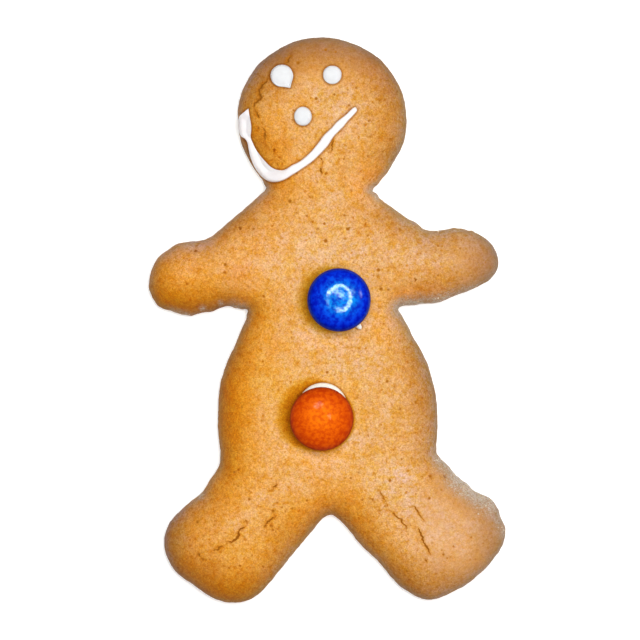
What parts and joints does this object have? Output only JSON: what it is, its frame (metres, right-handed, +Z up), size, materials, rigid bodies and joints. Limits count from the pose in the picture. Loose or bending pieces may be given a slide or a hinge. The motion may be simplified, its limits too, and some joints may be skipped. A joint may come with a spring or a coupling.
{
  "type": "gingerbread man cookie",
  "caption": "Puffy gingerbread man cookie lying face up, with a piped white icing face and smile and two round sugar-coated candy buttons on dabs of icing.",
  "frame": {"origin": "on the flat baked base, under the middle of the cookie's outline", "axes": "+X across the arms, +Y from the feet to the head, +Z up out of the decorated face"},
  "size_m": [0.0788, 0.1249, 0.016],
  "materials": {
    "gingerbread": "baked crust, matt, mottled golden brown",
    "icing": "set white sugar icing, satin",
    "candy_shell_blue": "polished sugar shell",
    "candy_shell_orange": "worn satin sugar shell"
  },
  "bodies": {
    "root": {"cookie": "gingerbread", "icing_eye_left": "icing", "icing_eye_right": "icing", "icing_nose": "icing", "icing_mouth": "icing", "icing_dab_blue": "icing", "icing_dab_orange": "icing", "candy_blue": "candy_shell_blue", "candy_orange": "candy_shell_orange"}
  },
  "joints": []
}
